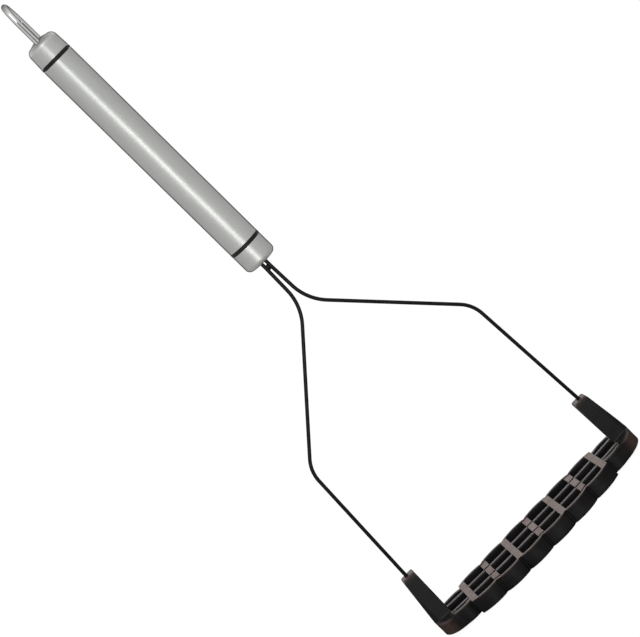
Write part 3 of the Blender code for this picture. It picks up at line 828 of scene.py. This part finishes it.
# Levels: heights above the sole within the plate, then within the uprights
SLIT_FLOOR = HEAD_THICKNESS - SLIT_DEPTH
RIB_TOP = HEAD_THICKNESS - RIB_DROP
PLATE_LEVELS = [0.0, FILLET, SLIT_FLOOR, RIB_TOP - FILLET, RIB_TOP, HEAD_THICKNESS]
UPRIGHT_TOP = HEAD_HIGH.z
CHAMFER_START = UPRIGHT_TOP - UPRIGHT_CHAMFER_HEIGHT
CHAMFER_LEVELS = [CHAMFER_START + share * UPRIGHT_CHAMFER_HEIGHT for share in CHAMFER_SHARES]
UPRIGHT_LEVELS = [HEAD_THICKNESS + FILLET, UPRIGHT_LOWER_LINE, ROD_HOLE_BOTTOM,
                  UPRIGHT_UPPER_LINE, CHAMFER_START - CHAMFER_FILLET, CHAMFER_START,
                  *CHAMFER_LEVELS, UPRIGHT_TOP]
LEVELS = PLATE_LEVELS + UPRIGHT_LEVELS
PLATE_TOP = len(PLATE_LEVELS) - 1
UPRIGHT_MARK_START = CHAMFER_START + 0.4 * UPRIGHT_CHAMFER_HEIGHT


def column_kind(column):
    """What lies between a station and the next one."""
    beyond = abs(column + 0.5 - MIDDLE_STATION) - 0.5
    middle = abs(STATIONS[column] + STATIONS[column + 1]) / 2
    if middle > END_CELL_END:
        return "hole_block" if beyond == HOLE_STATION else "end_block"
    if middle > GRID_HALF_LENGTH:
        return "end_cell"
    for index, centre in enumerate(bar_centres()):
        if abs((STATIONS[column] + STATIONS[column + 1]) / 2 - centre) < BAR_WIDTH / 2:
            return "split_bar" if index % 2 else "bar"
    return "cell"


def is_solid(kind, band, layer):
    """Whether the block of one column, row and layer is full."""
    bottom = LEVELS[layer]
    if layer >= PLATE_TOP:
        if kind not in ("end_block", "hole_block") or band not in ("core", "hole"):
            return False
        return not (kind == "hole_block" and band == "hole" and bottom >= ROD_HOLE_BOTTOM - TINY)
    if band not in SOLID_BANDS[kind]:
        return False
    if kind == "split_bar" and band in ("wall_slit", "rib_slit"):
        return bottom < SLIT_FLOOR - TINY
    if kind in ("cell", "end_cell") and band in ("rib", "rib_slit"):
        return bottom < RIB_TOP - TINY
    return True


def shoulder_drop(x, y, height):
    """How far the rounded shoulder of a nose lies below the plate's flat top."""
    reach = abs(y) / max(MM, end_half_depth(x))
    outward = min(1.0, max(0.0, (reach - SHOULDER_START) / (1 - SHOULDER_START)))
    onto_nose = min(1.0, max(0.0, (abs(x) - END_CELL_END) / SHOULDER_LENGTH))
    upward = max(0.0, (height - SHOULDER_FOOT) / (HEAD_THICKNESS - SHOULDER_FOOT))
    return SHOULDER_DROP * outward ** 2 * onto_nose * upward


def upright_place(station, nearest, x, y, height):
    """Distance from the Z axis and depth of a control point within an upright.

    The upright leans inwards, squares up towards its top and ends in a chamfer. nearest counts
    the control lines from the outline to the point.
    """
    rise = (height - HEAD_THICKNESS) / (UPRIGHT_TOP - HEAD_THICKNESS)
    squared = min(1.0, rise * UPRIGHT_SQUARING)
    past_chamfer = max(0.0, (height - CHAMFER_START) / UPRIGHT_CHAMFER_HEIGHT)
    if nearest == LINE_COUNT - 1:
        depth = y + (HOLE_CORNER - y) * squared
    else:
        depth = y
        if nearest == LINE_COUNT - 2:
            depth += (UPRIGHT_HALF_DEPTH - WALL_FILLET - y) * squared
        elif nearest == LINE_COUNT - 3:
            at_tip = station in (0, len(STATIONS) - 1)
            narrowing = UPRIGHT_TIP_NARROWING if at_tip else 0.0
            depth += (UPRIGHT_HALF_DEPTH - narrowing - y) * squared
        depth *= 1 - past_chamfer * UPRIGHT_CHAMFER_DEPTH / UPRIGHT_HALF_DEPTH
    at_hole = abs(station - MIDDLE_STATION) - HOLE_STATION
    if at_hole in (0, 1):
        return rod_offset(height) + HOLE_CORNER * (2 * at_hole - 1), depth
    inner_to_tip = (x - END_CELL_END) / (HEAD_HIGH.x - END_CELL_END)
    top = UPRIGHT_TOP_INNER + inner_to_tip * UPRIGHT_TOP_LENGTH
    middle = UPRIGHT_TOP_INNER + UPRIGHT_TOP_LENGTH / 2
    narrowed = 1 - past_chamfer * 2 * UPRIGHT_CHAMFER_SIDE / UPRIGHT_TOP_LENGTH
    return middle + (x + (top - x) * rise - middle) * narrowed, depth


def corner_place(station, line, level):
    """Position of one control point of the head."""
    x = STATIONS[station]
    lines = half_lines(x)
    nearest = min(line, 2 * LINE_COUNT - 1 - line)
    half = lines[nearest]
    lift = rocker_lift(x)
    height = LEVELS[level]
    if level <= PLATE_TOP:
        place, depth = abs(x), half
        raised = lift + height - shoulder_drop(x, half, height)
    else:
        place, depth = upright_place(station, nearest, abs(x), half, height)
        raised = height + lift * (UPRIGHT_TOP - height) / (UPRIGHT_TOP - HEAD_THICKNESS)
    side = 1 if line < LINE_COUNT else -1
    return Vector((math.copysign(place, x), side * depth, raised))


def head_cage():
    """Control mesh of the head: the outer skin of all its full blocks."""
    bm = bmesh.new()
    kinds = [column_kind(column) for column in range(len(STATIONS) - 1)]
    full = {(column, row, layer)
            for column, kind in enumerate(kinds)
            for row, band in enumerate(ROWS)
            for layer in range(len(LEVELS) - 1) if is_solid(kind, band, layer)}
    corners = {}

    def corner(*key):
        if key not in corners:
            corners[key] = bm.verts.new(corner_place(*key))
        return corners[key]

    for column, row, layer in sorted(full):
        near, far = column, column + 1
        front, back = row, row + 1
        low, high = layer, layer + 1
        sides = {
            (-1, 0, 0): [(near, front, low), (near, front, high), (near, back, high),
                         (near, back, low)],
            (1, 0, 0): [(far, front, low), (far, back, low), (far, back, high),
                        (far, front, high)],
            (0, -1, 0): [(near, front, low), (far, front, low), (far, front, high),
                         (near, front, high)],
            (0, 1, 0): [(near, back, low), (near, back, high), (far, back, high),
                        (far, back, low)],
            (0, 0, -1): [(near, front, low), (near, back, low), (far, back, low),
                         (far, front, low)],
            (0, 0, 1): [(near, front, high), (far, front, high), (far, back, high),
                        (near, back, high)],
        }
        for (dx, dy, dz), face in sides.items():
            if (column + dx, row + dy, layer + dz) not in full:
                bm.faces.new([corner(*key) for key in face])
    return bm


def in_slit(x, y):
    """Whether a place is in, or on the rounded edge of, a slit that parts a bar."""
    if all(abs(x - centre) > BAR_WIDTH / 2 + FILLET for centre in bar_centres()[1::2]):
        return False
    wall_slit = grid_half_depth(x) - WALL_THICKNESS - WALL_SLIT_WIDTH / 2
    return (abs(abs(y) - RIB_OFFSET) < SLIT_WIDTH / 2 + SLIT_EDGE
            or abs(abs(y) - wall_slit) < WALL_SLIT_WIDTH / 2 + SLIT_EDGE)


def rub_and_light_share(place):
    """How strongly a place is marked: most on the bars, as rubbed nylon and painted top light, less
    on the ribs and the front wall's top as painted highlight, and on the noses as rubbing and
    painted sheen.
    """
    x, y, z = place
    level = z - rocker_lift(x)
    # the uprights' tops: rubbed nylon and painted top light
    if level > HEAD_THICKNESS + FILLET:
        return UPRIGHT_TOP_RUB_AND_LIGHT if z > UPRIGHT_MARK_START else 0.0
    # the noses: rubbed nylon and a painted warm sheen
    if abs(x) > END_CELL_END:
        if level > HEAD_THICKNESS - NOSE_UNMARKED_EDGE:
            return 0.0
        along = min(1.0, (abs(x) - END_CELL_END) / NOSE_RUB_AND_SHEEN_LENGTH)
        return NOSE_RUB_AND_SHEEN * along ** NOSE_RUB_AND_SHEEN_POWER
    if level < RIB_TOP - RIB_MARK_DEPTH:
        return 0.0
    # the bars' tops: rubbed nylon and painted top light; the slits and their edges are left without
    # it, which keeps them dark as shade
    if any(abs(x - centre) < BAR_WIDTH / 2 - BAR_UNMARKED_SIDE for centre in bar_centres()):
        unmarked = level < HEAD_THICKNESS - BAR_MARK_DEPTH or in_slit(x, y)
        return 0.0 if unmarked else BAR_RUB_AND_TOP_LIGHT
    # the ribs' tops: a painted highlight
    if abs(y) < RIB_OFFSET + RIB_WIDTH:
        return RIB_PAINTED_HIGHLIGHT
    # only the front wall's top gets a painted highlight
    return FRONT_WALL_PAINTED_HIGHLIGHT if y < 0 else 0.0


def mark_rub_and_light(mesh):
    """Store the rubbing and painted light on the mesh for its material."""
    rubbed_and_lit = mesh.attributes.new(RUB_AND_LIGHT_ATTRIBUTE, "FLOAT", "POINT")
    for vert in mesh.vertices:
        rubbed_and_lit.data[vert.index].value = rub_and_light_share(vert.co)


def make_head(material):
    """The head's moulding, smoothed from its control mesh."""
    cage = finished_mesh(head_cage(), "head_cage", NEVER_SHARP)

    def add_subdivision(carrier):
        modifier = carrier.modifiers.new("smooth", "SUBSURF")
        modifier.levels = HEAD_SUBDIVISIONS
        modifier.render_levels = HEAD_SUBDIVISIONS
        modifier.boundary_smooth = "PRESERVE_CORNERS"

    mesh = with_modifiers("head_moulding", cage, add_subdivision, HEAD_SHARP)
    mark_rub_and_light(mesh)
    add_piece("head_moulding", mesh, material, "head_nylon", "masher_head")


# ---- studio ---------------------------------------------------------------------------------


# Grey of the studio by sine of elevation, in front of the object and behind it
FRONT_SKY = ((-0.60, 0.10), (-0.30, 0.24), (-0.16, 0.54), (0.10, 0.59), (0.25, 0.72),
             (0.60, 0.72), (0.85, 0.46), (1.00, 0.40))
BACK_SKY = ((-0.30, 0.10), (-0.08, 0.14), (0.05, 0.40), (0.14, 1.30), (0.40, 1.35),
            (0.70, 0.45), (1.00, 0.25))
# How far the studio turns from front to back, by the Y of the direction
TURN_TO_BACK = ((0.45, 0.0), (0.85, 1.0))
# Strength of the front half, by the same Y
FRONT_STRENGTH = ((-1.00, 0.15), (-0.955, 0.22), (-0.91, 1.12), (-0.60, 1.05), (0.00, 0.90),
                  (0.50, 0.85))


WHITE = (1.0, 1.0, 1.0, 1.0)

# The floor: its size, and the contact shadow and glow that the camera sees
FLOOR_HALF_WIDTH = 1.5
FLOOR_GAP = 0.05 * MM
FLOOR_SHADOW_GREY = (0.15, 0.15, 0.15, 1.0)
FLOOR_GLOW = 0.94
# Its grey to every other ray is painted shade, dark close to the head and for short rays, set by
# distance from the head and by the ray's length, as (from, to, grey at from, grey at to)
FLOOR_PAINTED_SHADE_BY_DISTANCE = (0.12, 0.55, 0.03, 0.78)
FLOOR_PAINTED_SHADE_BY_RAY_LENGTH = (0.08, 0.22, 0.03, 0.70)

# Area lights: name, place, target, width, height and power
LIGHTS = (
    # a strip in front that draws the handle's highlight
    ("strip", (-0.10, -1.25, 0.02), (0.0, 0.0, 0.24), 0.23, 0.37, 3.4),
    # a softbox above the camera that draws the highlights of the loop and the top cap
    ("high_box", (-0.06, -1.12, 0.87), (0.0, 0.0, 0.32), 0.30, 0.58, 1.9),
)


def ramp(tree, source, stops):
    """Colour ramp from -1 to 1 through (place, value) stops."""
    node = tree.nodes.new("ShaderNodeValToRGB")
    elements = node.color_ramp.elements
    while len(elements) < len(stops):
        elements.new(0.5)
    for stop, (place, grey) in zip(elements, stops):
        stop.position = (place + 1) / 2
        stop.color = (grey, grey, grey, 1.0)
    tree.links.new(map_range(tree, source, -1.0, 1.0, 0.0, 1.0), node.inputs["Fac"])
    return node.outputs["Color"]


def camera_switch(tree, others, camera, output):
    """Show one shader to the camera and another to every other ray."""
    light_path = tree.nodes.new("ShaderNodeLightPath")
    choose = tree.nodes.new("ShaderNodeMixShader")
    tree.links.new(light_path.outputs["Is Camera Ray"], choose.inputs["Fac"])
    tree.links.new(others, choose.inputs[1])
    tree.links.new(camera, choose.inputs[2])
    tree.links.new(choose.outputs["Shader"], output.inputs["Surface"])


def make_world():
    """White to the camera, and a soft studio to everything else."""
    world = bpy.data.worlds.new("studio")
    bpy.context.scene.world = world
    world.use_nodes = True
    tree = world.node_tree
    tree.nodes.clear()
    output = tree.nodes.new("ShaderNodeOutputWorld")
    split = tree.nodes.new("ShaderNodeSeparateXYZ")
    direction = tree.nodes.new("ShaderNodeTexCoord").outputs["Generated"]
    tree.links.new(direction, split.inputs["Vector"])
    front = blended(tree, 1.0, ramp(tree, split.outputs["Z"], FRONT_SKY),
                    ramp(tree, split.outputs["Y"], FRONT_STRENGTH), "MULTIPLY")
    around = blended(tree, ramp(tree, split.outputs["Y"], TURN_TO_BACK), front,
                     ramp(tree, split.outputs["Z"], BACK_SKY))
    lit = tree.nodes.new("ShaderNodeBackground")
    tree.links.new(around, lit.inputs["Color"])
    seen = tree.nodes.new("ShaderNodeBackground")
    seen.inputs["Color"].default_value = WHITE
    camera_switch(tree, lit.outputs["Background"], seen.outputs["Background"], output)


def floor_paint():
    """White to the camera with a faint contact shadow.

    To other rays the floor carries painted shade: it is dark close to the head and brighter further
    away, and long rays, which come from the handle, see it brighter than short ones.
    """
    material = bpy.data.materials.new("floor_paint")
    material.use_nodes = True
    tree = material.node_tree
    tree.nodes.clear()
    output = tree.nodes.new("ShaderNodeOutputMaterial")
    distance = tree.nodes.new("ShaderNodeVectorMath")
    distance.operation = "LENGTH"
    place = tree.nodes.new("ShaderNodeTexCoord").outputs["Object"]
    tree.links.new(place, distance.inputs[0])
    # painted shade: the floor's grey drops close to the head and for short rays
    painted_contact_shade = map_range(tree, distance.outputs["Value"], *FLOOR_PAINTED_SHADE_BY_DISTANCE)
    ray_length = tree.nodes.new("ShaderNodeLightPath").outputs["Ray Length"]
    painted_shade_by_ray_length = map_range(tree, ray_length, *FLOOR_PAINTED_SHADE_BY_RAY_LENGTH)
    painted_shade_floor = tree.nodes.new("ShaderNodeBsdfDiffuse")
    tree.links.new(math_node(tree, "MAXIMUM", painted_contact_shade, painted_shade_by_ray_length), painted_shade_floor.inputs["Color"])
    shadowed = tree.nodes.new("ShaderNodeBsdfDiffuse")
    shadowed.inputs["Color"].default_value = FLOOR_SHADOW_GREY
    glow = tree.nodes.new("ShaderNodeEmission")
    glow.inputs["Color"].default_value = WHITE
    glow.inputs["Strength"].default_value = FLOOR_GLOW
    seen = tree.nodes.new("ShaderNodeAddShader")
    tree.links.new(shadowed.outputs["BSDF"], seen.inputs[0])
    tree.links.new(glow.outputs["Emission"], seen.inputs[1])
    camera_switch(tree, painted_shade_floor.outputs["BSDF"], seen.outputs["Shader"], output)
    return material


def make_floor():
    """Pale floor just below the sole."""
    bm = bmesh.new()
    bmesh.ops.create_grid(bm, x_segments=8, y_segments=8, size=FLOOR_HALF_WIDTH)
    mesh = bpy.data.meshes.new("floor")
    bm.to_mesh(mesh)
    bm.free()
    floor = bpy.data.objects.new("floor", mesh)
    bpy.context.scene.collection.objects.link(floor)
    floor.location.z = CAD_BOX[0].z - FLOOR_GAP
    mesh.materials.append(floor_paint())


def add_area(name, place, target, width, height, power):
    """A soft rectangular light aimed at a point."""
    data = bpy.data.lights.new(name, "AREA")
    data.shape = "RECTANGLE"
    data.size = width
    data.size_y = height
    data.energy = power
    light = bpy.data.objects.new(name, data)
    bpy.context.scene.collection.objects.link(light)
    light.location = place
    light.rotation_mode = "QUATERNION"
    light.rotation_quaternion = (Vector(target) - Vector(place)).to_track_quat("-Z", "Y")


# ---- camera ---------------------------------------------------------------------------------

CAMERA_PLACE = (-28.7 * MM, -1116.5 * MM, 305.5 * MM)
CAMERA_PITCH = math.radians(8.40)
CAMERA_YAW = math.radians(-1.46)
CAMERA_ROLL = math.radians(0.51)
CAMERA_TILT = math.radians(45)  # the camera is turned so that the handle points up and left
CAMERA_LENS = 146.0
CAMERA_SENSOR_WIDTH = 36.0
CAMERA_CLIP = (0.05, 50.0)


def make_camera():
    """Long lens level with the handle's upper end, looking slightly down."""
    turn = Matrix.Rotation(CAMERA_YAW, 3, "Z")
    pitch = Matrix.Rotation(-CAMERA_PITCH, 3, "X")
    roll = Matrix.Rotation(CAMERA_ROLL, 3, "Y")
    right, forward, up = (turn @ pitch @ roll).col
    cosine, sine = math.cos(CAMERA_TILT), math.sin(CAMERA_TILT)
    tilted_right = right * cosine - up * sine
    tilted_up = right * sine + up * cosine
    data = bpy.data.cameras.new("camera")
    data.lens = CAMERA_LENS
    data.sensor_width = CAMERA_SENSOR_WIDTH
    data.clip_start, data.clip_end = CAMERA_CLIP
    camera = bpy.data.objects.new("camera", data)
    bpy.context.scene.collection.objects.link(camera)
    facing = Matrix((tilted_right, tilted_up, -forward)).transposed().to_4x4()
    camera.matrix_world = Matrix.Translation(CAMERA_PLACE) @ facing
    bpy.context.scene.camera = camera


# ---- build ----------------------------------------------------------------------------------


def main():
    """Build every piece and the studio."""
    bpy.context.scene.view_settings.view_transform = "Standard"
    steel = satin_steel()
    coating = rod_coating()
    rings = ring_plastic()
    make_tube(steel)
    make_bottom_cap(steel)
    make_top_cap(steel)
    make_ring("top_accent_ring", rings)
    make_ring("bottom_accent_ring", rings)
    make_loop(polished_steel())
    make_rod("left_rod", -1, coating)
    make_rod("right_rod", 1, coating)
    make_weld_bead(coating)
    make_head(head_nylon())
    plugs = plug_plastic()
    for node in ("loop_anchor_plug", "rod_socket_plug"):
        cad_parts[node].data.materials[0] = plugs
    make_world()
    make_floor()
    for light in LIGHTS:
        add_area(*light)
    make_camera()


main()
